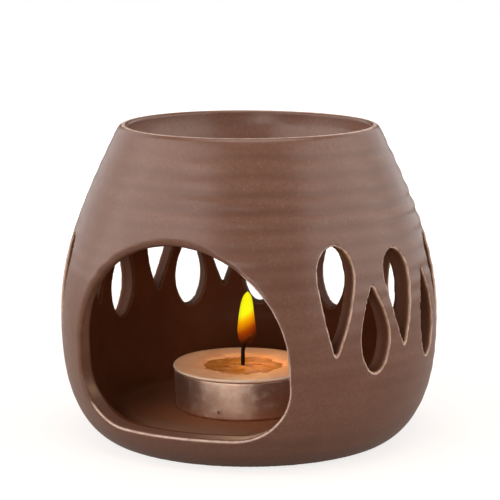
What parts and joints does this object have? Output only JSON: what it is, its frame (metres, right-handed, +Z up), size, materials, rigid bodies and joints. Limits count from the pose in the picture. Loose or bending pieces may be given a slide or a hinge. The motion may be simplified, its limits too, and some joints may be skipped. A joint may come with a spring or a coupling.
{
  "type": "essential oil burner",
  "caption": "Squat glazed pot with an arch, teardrop vents and a fixed oil dish on its neck, holding a tealight that warms scented oil.",
  "frame": {"origin": "on the pot's axis, at the surface that the foot stands on", "axes": "+Z up along the pot's axis; the arch faces -Y"},
  "size_m": [0.1017, 0.0973, 0.0829],
  "materials": {
    "glazed_pot": "satin brown glaze that breaks to tan on the arrises",
    "cup_metal": "plain pressed",
    "wax": "cream paraffin wax",
    "melted_wax": "melted wax, wet",
    "wick_cotton": "charred cotton",
    "sustainer_tin": "tinplate"
  },
  "bodies": {
    "burner": {"burner_body": "glazed_pot", "oil_dish": "glazed_pot"},
    "tealight": {"tealight_cup": "cup_metal"},
    "candle": {"candle_wax": "wax", "wax_pool": "melted_wax", "wick": "wick_cotton", "wick_sustainer": "sustainer_tin"}
  },
  "joints": [
    {"name": "tealight_slide", "type": "slide", "parent": "burner", "child": "tealight", "axis": [0, -0.9903, 0.1392], "range_m": [0, 0.09]},
    {"name": "candle_lift", "type": "slide", "parent": "tealight", "child": "candle", "axis": [0, 0, 1], "range_m": [0, 0.013]}
  ]
}
